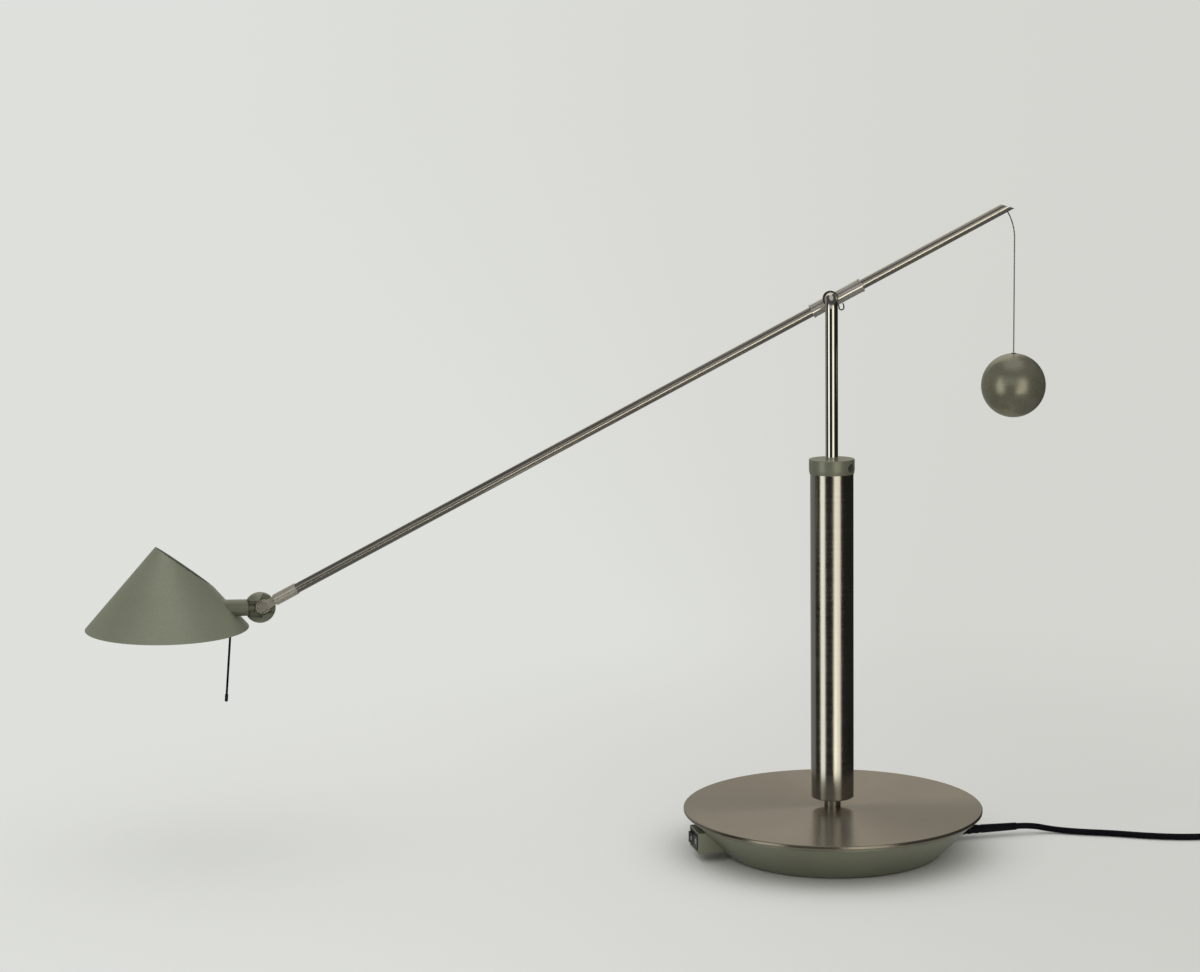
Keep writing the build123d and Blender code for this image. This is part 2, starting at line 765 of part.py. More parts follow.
def knuckle_ball():
    ball = Pos(knuckle) * Sphere(ball_joint_d / 2)
    front = flat_y - ball_joint_d
    pocket = eye_plane(front) * rod(eye_d / 2 + 2 * clear_gap, 0, ball_joint_d)
    low, high = arm_turn - head_down, arm_turn + head_up
    reach = ball_joint_d
    half = lug_root_w / 2 + 2 * clear_gap
    for i in range(5):
        a = low + (high - low) * i / 4
        lane = Box(reach, 2 * half, ball_joint_d, align=(Align.MIN, Align.CENTER, Align.MAX))
        pocket += Plane(origin=(eye.X, flat_y, eye.Z), x_dir=(cos(radians(a)), 0, sin(radians(a))),
                        z_dir=(0, 1, 0)) * lane
    channel = Box(reach, ball_joint_d, neck_d + 2 * clear_gap, align=(Align.MAX, Align.MAX, Align.CENTER))
    pocket += Pos(eye.X, flat_y, knuckle.Z) * channel
    ball -= pocket
    ball -= neck_bar(neck_d / 2 + clear_gap, neck_end - clear_gap, ball_joint_d)
    ball -= neck_bar(neck_spigot_d / 2 + running_fit, neck_end - neck_spigot_len - clear_gap, ball_joint_d)
    ball -= eye_plane(flat_y - 1) * rod(pivot_screw_d / 2 + running_fit, 0, pivot_screw_depth + 2)
    return ball


def neck_bar(radius, start, end):
    """A bar along the neck's axis, from one distance to another off the ball's centre."""
    return between(knuckle - Vector(start, 0, 0), knuckle - Vector(end, 0, 0), radius)


def knuckle_screw():
    head_y = arm_y - eye_t / 2 - pivot_screw_head_t
    screw = eye_plane(head_y) * rod(pivot_screw_head_d / 2, 0, pivot_screw_head_t)
    screw = chamfer(screw.edges().sort_by(Axis.Y)[0], pivot_screw_head_t / 4)
    shank = eye_plane(head_y) * rod(pivot_screw_d / 2, 0, flat_y - head_y + pivot_screw_depth)
    return screw + shank


def friction_washer():
    return eye_plane(flat_y - friction_t) * tube(pivot_screw_head_d / 2, pivot_screw_d / 2 + seat_fit, 0, friction_t)


def shade_axis():
    return knuckle - Vector(shade_out, 0, rim_drop)


def cone(radius, height):
    return Pos(shade_axis()) * Cone(radius, nothing_thin, height, align=(Align.CENTER, Align.CENTER, Align.MIN))


def shade():
    """A spun cone, its top cut off obliquely, open below and above."""
    rim = shade_axis()
    slope = cone_h / rim_r
    inner_r = rim_r - shade_t * sqrt(1 + slope ** 2) / slope
    shell = cone(rim_r, cone_h) - cone(inner_r, inner_r * slope)
    normal = Vector(sin(radians(cut_slope)) * cos(radians(cut_turn)),
                    sin(radians(cut_slope)) * sin(radians(cut_turn)), cos(radians(cut_slope)))
    apex = rim + Vector(0, 0, cone_h)
    cutter = Plane(origin=apex - normal * cut_from_apex, z_dir=normal)
    shell -= cutter * Box(4 * rim_r, 4 * rim_r, 4 * rim_r, align=(Align.CENTER, Align.CENTER, Align.MIN))
    seat = Pos(knuckle - Vector(wall_at_neck(), 0, 0))
    shell = seat * Rot(shade_roll, shade_lean, 0) * seat.inverse() * shell
    return shell - neck_bar(nut_thread_d / 2 + seat_fit, ball_joint_d / 2, shade_out)


def head_neck():
    neck = neck_bar(neck_d / 2, neck_end, neck_inside)
    neck += neck_bar(neck_spigot_d / 2, neck_end - neck_spigot_len, neck_end)
    neck -= neck_bar(neck_bore_d / 2, 0, neck_inside + 1)
    top, _ = rod_line()
    way = (rod_line()[1] - top).normalized()
    return neck - between(top - way * (rod_thread + seat_fit), top + way * neck_d, rod_d / 2 + running_fit)


def neck_nut():
    """A flanged ring inside the shade that holds it on the neck."""
    inner = wall_at_neck() + clear_gap
    nut = neck_bar(nut_flange_d / 2, inner, inner + nut_flange_t)
    return nut - neck_bar(neck_d / 2, 0, shade_out)


def wall_at_neck():
    """Distance from the ball's centre to the inside of the shade at the neck's upper side."""
    high = rim_drop + nut_flange_d / 2
    radius = rim_r - shade_t * sqrt(1 + (rim_r / cone_h) ** 2) - high * rim_r / cone_h
    return shade_out - radius


def rod_line():
    """Root and tip of the positioning rod."""
    lean = radians(rod_lean)
    tip = knuckle + Vector(-rod_root - (rod_drop - neck_d / 2) * tan(lean), 0, -rod_drop)
    root = knuckle + Vector(-rod_root, 0, -neck_d / 2)
    return root, tip


def positioning_rod():
    root, tip = rod_line()
    way = (tip - root).normalized()
    return between(root - way * rod_thread, tip - way * rod_tip_len, rod_d / 2)


def rod_tip():
    root, tip = rod_line()
    way = (tip - root).normalized()
    cap = between(tip - way * rod_tip_len, tip, rod_tip_d / 2)
    return fillet(cap.edges().sort_by(Axis.Z)[0], rod_tip_d / 4)


def lamp_plane():
    """Origin at the mouth of the lamp holder, Z along the capsule."""
    length = holder_size[2]
    return Plane(origin=knuckle - Vector(neck_inside + length, 0, 0), x_dir=(0, 1, 0), z_dir=(-1, 0, 0))


def lamp_holder():
    width, height, length = holder_size
    block = Box(width, height, length, align=(Align.CENTER, Align.CENTER, Align.MAX))
    block = chamfer(block.edges().filter_by(Axis.Z), height / 10)
    for side in (-1, 1):
        block -= Pos(side * pin_pitch / 2, 0, 0) * rod(pin_d / 2 + running_fit, -pin_len, 1)
    return lamp_plane() * block


def halogen_capsule():
    pinch = Box(capsule_d, pin_pitch * 0.8, capsule_pinch, align=(Align.CENTER, Align.CENTER, Align.MIN))
    r = capsule_d / 2
    bulb = turned([(0, capsule_pinch * 0.7), (r * 0.7, capsule_pinch * 0.7), (r, capsule_pinch),
                   (r, capsule_len - r), (r * 0.8, capsule_len - r * 0.35), (r * 0.35, capsule_len), (0, capsule_len)])
    return lamp_plane() * (pinch + bulb)


def capsule_pins():
    pins = []
    for side in (-1, 1):
        pins.append(lamp_plane() * Pos(side * pin_pitch / 2, 0, 0) * rod(pin_d / 2, -pin_len + 1, 0))
    return pins


def inner_reflector():
    """A shallow spun dish over the capsule, held on the lamp holder by a tongue."""
    centre = knuckle + Vector(-neck_inside - holder_size[2] - capsule_len * 0.55, 0, reflector_lift)
    dish = turned([(0, reflector_rise), (reflector_r * 0.55, reflector_rise * 0.8), (reflector_r, 0),
                   (reflector_r, -reflector_t), (reflector_r * 0.55, reflector_rise * 0.8 - reflector_t),
                   (0, reflector_rise - reflector_t)])
    low = knuckle.Z + holder_size[1] / 2
    foot = centre.Z - reflector_t
    tongue_x = centre.X + reflector_r - 1
    end_x = knuckle.X - neck_inside - 1
    dish = Pos(centre) * dish
    tongue = Pos(tongue_x, centre.Y, foot) * Box(end_x - tongue_x, pin_len, reflector_t,
                                                align=(Align.MIN, Align.CENTER, Align.MIN))
    leg = Pos(end_x, centre.Y, low) * Box(holder_size[2] / 2, pin_len, foot + reflector_t - low,
                                          align=(Align.MAX, Align.CENTER, Align.MIN))
    return dish + tongue + leg


# ---------------------------------------------------------------- counterweight

def hinge_point():
    return along_arm(exit_reach, -hinge_drop)


def wire_points():
    """Straight out of the tube, through one bend, then plumb down to the ball."""
    down = arm_up * -1
    start = hinge_point() + down * (stop_ball_d / 2 + running_fit)
    bend = start + down * (tube_d / 2 - hinge_drop)
    bend_end = bend + Vector(wire_bend_r * (1 - cos(radians(arm_turn))), 0,
                             -wire_bend_r * sin(radians(arm_turn)))
    return start, bend, bend_end


def weight_centre():
    return Vector(wire_points()[2].X, arm_y, weight_z)


def suspension_wire():
    start, bend, bend_end = wire_points()
    foot = weight_centre() + Vector(0, 0, weight_d / 2 + insert_proud)
    path = [Line(start, bend), TangentArc(bend, bend_end, tangent=arm_up * -1), Line(bend_end, foot)]
    return sweep_tube([e for piece in path for e in piece.edges()], wire_d)[0]


def counterweight_ball():
    centre = weight_centre()
    ball = Pos(centre) * Sphere(weight_d / 2)
    top = centre.Z + weight_d / 2
    return ball - Pos(centre.X, centre.Y, 0) * rod(insert_d / 2 + seat_fit / 2, top - insert_len, top + 1)


def ball_insert():
    centre = weight_centre()
    top = centre.Z + weight_d / 2
    return Pos(centre.X, centre.Y, 0) * rod(insert_d / 2, top - insert_len, top + insert_proud)


def main():
    pieces = {
        "base_top_plate": base_top_plate(), "base_body": base_body(), "bottom_cover": bottom_cover(),
        "foot_pad": rod(pad_r, 0, pad_t), "cover_screws": cover_screws(),
        "ballast_ring": tube(ballast_out_r, ballast_in_r, cover_top, cover_top + ballast_t),
        "toroid_transformer": toroid_transformer(), "transformer_pads": transformer_pads(),
        "terminal_block": terminal_block(), "switch_box": switch_box(), "switch_insert": switch_insert(),
        "switch_tabs": switch_tabs(), "rocker": rocker(), "spigot": spigot(), "spigot_nut": spigot_nut(),
        "spigot_washer": spigot_washer(), "retaining_ring": retaining_ring(), "cord_gland": cord_gland(),
        "strain_relief": strain_relief(), "plug_body": plug_body(), "plug_pins": plug_pins(),
        "column_tube": column_tube(), "lower_bearing": lower_bearing(), "thrust_washer": thrust_washer(),
        "upper_guide": upper_guide(), "collar": collar(), "set_screw": set_screw(), "stem": stem(),
        "stem_stop": stem_stop(), "spring_clip": spring_clip(), "arm_sleeve": arm_sleeve(),
        "sleeve_rings": sleeve_rings(), "pivot_bush": pivot_bush(), "arm_tube": arm_tube(),
        "arm_lead": arm_lead(), "arm_eye": arm_eye(), "knuckle_ball": knuckle_ball(),
        "knuckle_screw": knuckle_screw(), "friction_washer": friction_washer(), "head_neck": head_neck(),
        "shade": shade(), "neck_nut": neck_nut(), "positioning_rod": positioning_rod(), "rod_tip": rod_tip(),
        "lamp_holder": lamp_holder(), "halogen_capsule": halogen_capsule(), "capsule_pins": capsule_pins(),
        "inner_reflector": inner_reflector(),
        "wire_stop": Pos(hinge_point()) * Sphere(stop_ball_d / 2), "suspension_wire": suspension_wire(),
        "counterweight_ball": counterweight_ball(), "ball_insert": ball_insert(),
    }
    lead, lead_length = cord_lead()
    coil, coil_length = cord_coil()
    pieces["cord_lead"], pieces["cord_coil"] = lead, coil
    hidden = gland_out - gland_in
    print("cord length with the part in the relief", round(lead_length + coil_length + relief_len + hidden))
    for name, piece in pieces.items():
        save(name, piece)
    for label, point in (("pivot", pivot), ("head pivot", eye), ("ball centre", knuckle),
                         ("wire hinge", hinge_point()), ("weight", weight_centre()), ("rim centre", shade_axis())):
        print(label, [round(c, 3) for c in point])


main()
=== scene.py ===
import bmesh
import bpy
from math import cos, pi, radians, sin
from mathutils import Matrix, Vector


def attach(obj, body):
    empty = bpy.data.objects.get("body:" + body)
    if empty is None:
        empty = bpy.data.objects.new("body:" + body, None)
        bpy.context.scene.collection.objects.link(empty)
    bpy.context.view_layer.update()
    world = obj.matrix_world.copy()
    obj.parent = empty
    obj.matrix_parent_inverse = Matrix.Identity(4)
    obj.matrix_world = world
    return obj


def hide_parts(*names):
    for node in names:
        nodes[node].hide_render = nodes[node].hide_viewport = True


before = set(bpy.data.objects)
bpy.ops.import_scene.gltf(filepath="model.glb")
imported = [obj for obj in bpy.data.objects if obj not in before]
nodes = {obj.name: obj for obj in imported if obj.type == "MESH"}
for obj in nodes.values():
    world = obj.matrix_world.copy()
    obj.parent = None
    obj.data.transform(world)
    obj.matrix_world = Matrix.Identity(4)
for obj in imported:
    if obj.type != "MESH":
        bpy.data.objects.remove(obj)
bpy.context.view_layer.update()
scene = bpy.context.scene
mm = 0.001
print("frame loaded:", len(nodes), "nodes")


# a shader socket that works in sums, such as 1 - mask
class Sock:
    def __init__(self, tree, socket, colour=False):
        self.tree, self.socket, self.colour = tree, socket, colour

    def pair(self, mode, first, second):
        colour = any(isinstance(v, Sock) and v.colour for v in (first, second))
        kind = "ShaderNodeVectorMath" if colour else "ShaderNodeMath"
        return self.tree.add(kind, {"operation": mode}, {0: first, 1: second}, colour=colour)

    def __add__(self, other): return self.pair("ADD", self, other)
    def __radd__(self, other): return self.pair("ADD", other, self)
    def __sub__(self, other): return self.pair("SUBTRACT", self, other)
    def __rsub__(self, other): return self.pair("SUBTRACT", other, self)
    def __mul__(self, other): return self.pair("MULTIPLY", self, other)
    def __rmul__(self, other): return self.pair("MULTIPLY", other, self)
    def __truediv__(self, other): return self.pair("DIVIDE", self, other)
    def __rtruediv__(self, other): return self.pair("DIVIDE", other, self)


# the nodes of one material or of the world
class NodeTree:
    def __init__(self, owner):
        owner.use_nodes = True
        self.nodes, self.links = owner.node_tree.nodes, owner.node_tree.links
        self.nodes.clear()

    def add(self, kind, settings=None, inputs=None, out=0, colour=False):
        node = self.nodes.new(kind)
        for key, value in (settings or {}).items():
            setattr(node, key, value)
        for key, value in (inputs or {}).items():
            self.feed(node, key, value)
        return Sock(self, node.outputs[out], colour) if node.outputs else node

    def feed(self, node, key, value):
        socket = node.inputs[key]
        if isinstance(value, Sock):
            self.links.new(value.socket, socket)
        elif socket.type == "RGBA":
            socket.default_value = (*value[:3], 1)
        elif socket.type == "VECTOR" and not hasattr(value, "__len__"):
            socket.default_value = (value, value, value)
        else:
            socket.default_value = value

    def mix(self, amount, first, second):
        return self.add("ShaderNodeMix", {"data_type": "RGBA"}, {0: amount, 6: first, 7: second},
                        out=2, colour=True)

    def span(self, value, low, high, toLow=0.0, toHigh=1.0):
        return self.add("ShaderNodeMapRange", {"interpolation_type": "SMOOTHSTEP"},
                        {0: value, 1: low, 2: high, 3: toLow, 4: toHigh})

    def math(self, mode, first, second=0.0):
        return self.add("ShaderNodeMath", {"operation": mode}, {0: first, 1: second})

    def split(self, vector):
        node = self.add("ShaderNodeSeparateXYZ", inputs={0: vector}).socket.node
        return [Sock(self, out) for out in node.outputs]

    def join(self, x, y, z):
        return self.add("ShaderNodeCombineXYZ", inputs={0: x, 1: y, 2: z}, colour=True)

    def place(self):
        return self.add("ShaderNodeTexCoord", out=3, colour=True)

    def noise(self, vector, scale, detail=2.0, rough=0.5):
        return self.add("ShaderNodeTexNoise", inputs={
            "Vector": vector, "Scale": scale, "Detail": detail, "Roughness": rough})

    def bump(self, height, strength, distance):
        return self.add("ShaderNodeBump", inputs={
            "Strength": strength, "Distance": distance, "Height": height}, colour=True)

    def lightPath(self, *rays):
        node = self.add("ShaderNodeLightPath").socket.node
        total = Sock(self, node.outputs[rays[0]])
        for ray in rays[1:]:
            total = total + Sock(self, node.outputs[ray])
        return self.math("MINIMUM", total, 1.0)

    def surface(self, colour, rough, metal=0.0, normal=None, extra=None):
        inputs = {"Base Color": colour, "Roughness": rough, "Metallic": metal, **(extra or {})}
        if normal is not None:
            inputs["Normal"] = normal
        self.close(self.add("ShaderNodeBsdfPrincipled", inputs=inputs))

    def close(self, shader):
        self.add("ShaderNodeOutputMaterial", inputs={0: shader})


# the photograph's camera, worked out from its ellipses and verticals
cameraSet = {"place": (-0.18384, -2.0417, 0.58414), "down": 7.97, "roll": -0.81,
             "lens": 78.0, "sensor": 36.0}


def makeCamera(s):
    data = bpy.data.cameras.new("camera")
    data.lens = s["lens"]
    data.sensor_width = s["sensor"]
    camera = bpy.data.objects.new("camera", data)
    scene.collection.objects.link(camera)
    look = Matrix.Rotation(radians(90 - s["down"]), 4, "X")
    look = look @ Matrix.Rotation(radians(s["roll"]), 4, "Z")
    camera.matrix_world = Matrix.Translation(s["place"]) @ look
    scene.camera = camera


makeCamera(cameraSet)


# metallic grey-green paint: fine flake, a slow cloud and a soft skin
paintSet = {"light": (0.265, 0.275, 0.205), "dark": (0.205, 0.212, 0.155), "rough": 0.36,
            "metal": 0.45, "flake": 1500.0, "cloud": 18.0, "flakeShare": 0.75,
            "colourFrom": (0.36, 0.64), "roughFrom": (0.3, 0.7), "roughSwing": (-0.05, 0.07),
            "skin": 900.0, "skinDeep": 0.06, "skinHigh": 0.0002}
# the lampshade's copy of this paint is lighter: painted light, for the brighter light that falls on
# the lampshade; the neck beside it keeps the plain paint
lampshadeLitPaint = {**paintSet, "light": (0.378, 0.400, 0.296), "dark": (0.300, 0.317, 0.230)}
ballPaint = {**paintSet, "light": (0.335, 0.322, 0.242), "dark": (0.275, 0.262, 0.192),
             "rough": 0.31, "metal": 0.66, "skinDeep": 0.03}


def paintFinish(name, s=paintSet):
    mat = bpy.data.materials.new(name)
    t = NodeTree(mat)
    at = t.place()
    flake = t.noise(at, s["flake"], 2.0, 0.6)
    cloud = t.noise(at, s["cloud"], 3.0)
    grey = flake * s["flakeShare"] + cloud * (1 - s["flakeShare"])
    colour = t.mix(t.span(grey, *s["colourFrom"]), s["dark"], s["light"])
    rough = t.span(flake, *s["roughFrom"], *(s["rough"] + swing for swing in s["roughSwing"]))
    skin = t.bump(t.noise(at, s["skin"], 1.0), s["skinDeep"], s["skinHigh"])
    t.surface(colour, rough, s["metal"], skin)
    return mat


# nickel that keeps the lines of its turning, spinning or drawing
lineSet = {"fine": (30.0, 5200.0), "wide": (14.0, 420.0), "cloud": 22.0,   # lines: along, across
           "share": (0.4, 0.3, 0.3), "colourFrom": (0.36, 0.64),
           "roughFrom": (0.35, 0.65), "roughSwing": (-0.025, 0.03), "high": 0.00006}
columnSet = {**lineSet, "light": (0.62, 0.595, 0.53), "dark": (0.55, 0.525, 0.46),
             "rough": 0.20, "deep": 0.035}
plateSet = {**lineSet, "light": (0.375, 0.338, 0.275), "dark": (0.325, 0.290, 0.232),
            "rough": 0.31, "deep": 0.010, "comb": 0.9, "combTurn": 0.25}
armSet = {**lineSet, "light": (0.66, 0.625, 0.55), "dark": (0.60, 0.568, 0.495),
          "rough": 0.21, "deep": 0.0, "slope": 27.6, "round": 0.7}


def alongColumn(t, x, y, z):
    return z


def alongRadius(t, x, y, z):
    return t.math("SQRT", x * x + y * y)


def acrossArm(t, x, y, z, s=armSet):
    return z * cos(radians(s["slope"])) - x * sin(radians(s["slope"])) + y * s["round"]


def linedFinish(name, s, across):
    mat = bpy.data.materials.new(name)
    t = NodeTree(mat)
    at = t.place()
    x, y, z = t.split(at)
    way = across(t, x, y, z)

    def lines(along, closeness, detail, rough):
        return t.noise(t.join(x * along, y * along, way * closeness), 1.0, detail, rough)

    fine = lines(*s["fine"], 2.0, 0.6)
    wide = lines(*s["wide"], 2.0, 0.5)
    cloud = t.noise(at, s["cloud"], 3.0)
    fineShare, wideShare, cloudShare = s["share"]
    grey = fine * fineShare + wide * wideShare + cloud * cloudShare
    colour = t.mix(t.span(grey, *s["colourFrom"]), s["dark"], s["light"])
    rough = t.span(wide * 0.5 + cloud * 0.5, *s["roughFrom"],
                   *(s["rough"] + swing for swing in s["roughSwing"]))
    comb = {"Anisotropic": s.get("comb", 0.0), "Anisotropic Rotation": s.get("combTurn", 0.0)}
    grooves = t.bump(fine, s["deep"], s["high"]) if s["deep"] else None
    t.surface(colour, rough, 1.0, grooves, comb)
    return mat


# bright metals: a faint haze, and on the duller ones a hair of unevenness
hazeSet = {"hair": 8.0, "colourFrom": (0.3, 0.7), "roughFrom": (0.35, 0.7),
           "roughTimes": (0.9, 1.15)}


def metalFinish(name, light, dark, rough, grain=120.0, deep=0.01, high=0.00004, metal=1.0,
                s=hazeSet):
    mat = bpy.data.materials.new(name)
    t = NodeTree(mat)
    at = t.place()
    haze = t.noise(at, grain, 3.0, 0.6)
    hair = t.bump(t.noise(at, grain * s["hair"], 1.0), deep, high) if deep else None
    colour = t.mix(t.span(haze, *s["colourFrom"]), dark, light)
    rough = t.span(haze, *s["roughFrom"], *(rough * times for times in s["roughTimes"]))
    t.surface(colour, rough, metal, hair)
    return mat


# mouldings, rubber, glaze and print: fine pits and a slow cloud
mouldSet = {"cloud": 40.0, "colourFrom": (0.35, 0.65), "roughFrom": (0.3, 0.7),
            "roughSwing": 0.06, "high": 0.0002}


def mouldedFinish(name, light, dark, rough, grain=1200.0, deep=0.12, shine=0.5, s=mouldSet):
    mat = bpy.data.materials.new(name)
    t = NodeTree(mat)
    at = t.place()
    pits = t.noise(at, grain, 2.0, 0.6)
    cloud = t.noise(at, s["cloud"], 2.0)
    colour = t.mix(t.span(pits * 0.5 + cloud * 0.5, *s["colourFrom"]), dark, light)
    rough = t.span(pits, *s["roughFrom"], rough - s["roughSwing"], rough + s["roughSwing"])
    t.surface(colour, rough, 0.0, t.bump(pits, deep, s["high"]), {"Specular IOR Level": shine})
    return mat


glassSet = {"colour": (0.97, 0.97, 0.96), "haze": 300.0, "hazeFrom": (0.3, 0.7),
            "rough": (0.02, 0.06), "through": 0.92, "bend": 1.46}


def glassFinish(name, s=glassSet):
    mat = bpy.data.materials.new(name)
    t = NodeTree(mat)
    rough = t.span(t.noise(t.place(), s["haze"]), *s["hazeFrom"], *s["rough"])
    t.surface(s["colour"], rough, extra={"Transmission Weight": s["through"], "IOR": s["bend"]})
    return mat


# fine strands laid round a thin wire
strandSet = {"light": (0.50, 0.49, 0.46), "dark": (0.17, 0.165, 0.15), "rough": (0.42, 0.32),
             "lay": 2600.0, "slant": 1.6, "colourFrom": (-0.8, 0.6), "deep": 0.2, "high": 0.0001}


def strandFinish(name, s=strandSet):
    mat = bpy.data.materials.new(name)
    t = NodeTree(mat)
    x, y, z = t.split(t.place())
    turn = t.math("SINE", (z + x * s["slant"] + y * s["slant"]) * s["lay"])
    colour = t.mix(t.span(turn, *s["colourFrom"]), s["dark"], s["light"])
    t.surface(colour, t.span(turn, -1.0, 1.0, *s["rough"]), 1.0, t.bump(turn, s["deep"], s["high"]))
    return mat


feltSet = {"light": (0.07, 0.07, 0.068), "dark": (0.02, 0.02, 0.02), "rough": 0.95,
           "fibre": 1800.0, "colourFrom": (0.3, 0.7), "deep": 0.5, "high": 0.0006}


def feltFinish(name, s=feltSet):
    mat = bpy.data.materials.new(name)
    t = NodeTree(mat)
    fibre = t.noise(t.place(), s["fibre"], 4.0, 0.8)
    colour = t.mix(t.span(fibre, *s["colourFrom"]), s["dark"], s["light"])
    t.surface(colour, s["rough"], 0.0, t.bump(fibre, s["deep"], s["high"]))
    return mat


# every finish: name, light tone, dark tone, roughness
finishes = {
    "paint": paintFinish("greyGreenPaint"),
    "lampshadeLitPaint": paintFinish("lampshadeLitPaint", lampshadeLitPaint),
    "ballPaint": paintFinish("ballPaint", ballPaint),
    "column": linedFinish("turnedNickel", columnSet, alongColumn),
    "plate": linedFinish("spunNickel", plateSet, alongRadius),
    "armTube": linedFinish("drawnNickel", armSet, acrossArm),
    "polish": metalFinish("polishedNickel", (0.78, 0.755, 0.69), (0.72, 0.695, 0.63), 0.045,
                          grain=60.0, deep=0.0),
    "sleeve": metalFinish("satinSleeve", (0.70, 0.67, 0.60), (0.65, 0.62, 0.553), 0.12,
                          grain=90.0, deep=0.0, metal=0.75),
    "eye": metalFinish("satinEye", (0.84, 0.79, 0.69), (0.79, 0.74, 0.645), 0.24,
                       grain=150.0, deep=0.0, metal=0.75),
    "pin": metalFinish("satinPin", (0.42, 0.395, 0.34), (0.36, 0.34, 0.29), 0.50,
                       grain=300.0, deep=0.0, metal=0.75),
    "dark": metalFinish("blackenedSteel", (0.10, 0.095, 0.09), (0.045, 0.043, 0.04), 0.34,
                        grain=700.0, deep=0.08),
    "rod": metalFinish("blackenedRod", (0.016, 0.015, 0.021), (0.010, 0.0095, 0.014), 0.50,
                       grain=700.0, deep=0.0),
    "spring": metalFinish("springWire", (0.20, 0.19, 0.17), (0.12, 0.112, 0.10), 0.24,
                          grain=700.0, deep=0.02),
    "zinc": metalFinish("zincPlate", (0.62, 0.62, 0.61), (0.48, 0.48, 0.47), 0.32,
                        grain=700.0, deep=0.08),
    "cast": metalFinish("rawCasting", (0.20, 0.20, 0.20), (0.10, 0.10, 0.10), 0.50,
                        grain=400.0, deep=0.3, high=0.0002),
    "brass": metalFinish("turnedBrass", (0.75, 0.57, 0.28), (0.58, 0.42, 0.19), 0.26,
                         grain=600.0, deep=0.05),
    "bright": metalFinish("spunAluminium", (0.86, 0.86, 0.87), (0.74, 0.74, 0.75), 0.16,
                          grain=200.0, deep=0.02),
    "strand": strandFinish("wireRope"),
    "black": mouldedFinish("blackMoulding", (0.022, 0.022, 0.024), (0.012, 0.012, 0.013), 0.50,
                           shine=0.2),
    "key": mouldedFinish("glossKey", (0.008, 0.008, 0.009), (0.005, 0.005, 0.006), 0.34,
                         grain=1600.0, deep=0.03, shine=0.2),
    "rubber": mouldedFinish("softRubber", (0.010, 0.010, 0.012), (0.006, 0.006, 0.007), 0.58,
                            grain=900.0, shine=0.3),
    "lead": mouldedFinish("leadJacket", (0.0045, 0.0045, 0.009), (0.0025, 0.0025, 0.005), 0.55,
                          grain=500.0, deep=0.06, shine=0.12),
    "tape": mouldedFinish("windingTape", (0.60, 0.42, 0.10), (0.42, 0.28, 0.06), 0.40, grain=300.0),
    "ceramic": mouldedFinish("steatite", (0.82, 0.80, 0.74), (0.70, 0.68, 0.62), 0.60, grain=500.0),
    "mark": mouldedFinish("markWhite", (0.80, 0.80, 0.78), (0.66, 0.66, 0.64), 0.55,
                          grain=2000.0, deep=0.03),
    "felt": feltFinish("feltPad"),
    "glass": glassFinish("quartzGlass"),
}
print("finishes made:", len(finishes))

nodeFinish = {
    "paint": ["base_body", "switch_box", "collar", "knuckle_ball", "head_neck"],
    # the lampshade takes the lighter copy of the paint, which is painted light
    "lampshadeLitPaint": ["shade"],
    "ballPaint": ["counterweight_ball"],
    "plate": ["base_top_plate"],
    "column": ["column_tube", "spigot"],
    "armTube": ["arm_tube"],
    "polish": ["stem", "pivot_bush", "wire_stop", "plug_pins", "capsule_pins"],
    "sleeve": ["arm_sleeve", "sleeve_rings"],
    "eye": ["arm_eye"],
    "pin": ["knuckle_screw"],
    "dark": ["retaining_ring", "ball_insert"],
    "rod": ["positioning_rod", "set_screw"],
    "spring": ["spring_clip"],
    "strand": ["suspension_wire"],
    "zinc": ["bottom_cover", "cover_screws", "spigot_nut", "spigot_washer", "neck_nut"],
    "cast": ["ballast_ring"],
    "brass": ["lower_bearing", "thrust_washer", "upper_guide", "stem_stop", "switch_tabs"],
    "black": ["switch_insert", "terminal_block", "cord_gland"],
    "key": ["rocker"],
    "rubber": ["transformer_pads", "plug_body", "arm_lead", "friction_washer", "rod_tip"],
    "lead": ["cord_lead", "cord_coil", "strain_relief"],
    "tape": ["toroid_transformer"],
    "ceramic": ["lamp_holder"],
    "bright": ["inner_reflector"],
    "felt": ["foot_pad"],
    "glass": ["halogen_capsule"],
}
for finish, names in nodeFinish.items():
    for name in names:
        mesh = nodes[name].data
        mesh.materials.clear()
        mesh.materials.append(finishes[finish])
print("nodes finished:", sum(len(names) for names in nodeFinish.values()), "of", len(nodes))


def addPiece(name, build, finish, body):
    b = bmesh.new()
    build(b)
    bmesh.ops.recalc_face_normals(b, faces=b.faces)
    mesh = bpy.data.meshes.new(name)
    b.to_mesh(mesh)
    b.free()
    mesh.materials.append(finishes[finish])
    piece = bpy.data.objects.new(name, mesh)
    scene.collection.objects.link(piece)
    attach(piece, body)


# the two marks of the switch, printed on the rocker's halves; in millimetres and degrees
rockerSet = {"compass": 192.0, "reach": 115.0, "height": 15.5, "axleIn": 3.6, "tilt": 5.0,
             "half": 10.5, "midOut": 0.4, "endOut": 1.3, "markAt": 5.4, "lift": 0.02,
             "thick": 0.08, "bar": (0.7, 3.2), "ring": (1.7, 1.15), "ringSteps": 40}


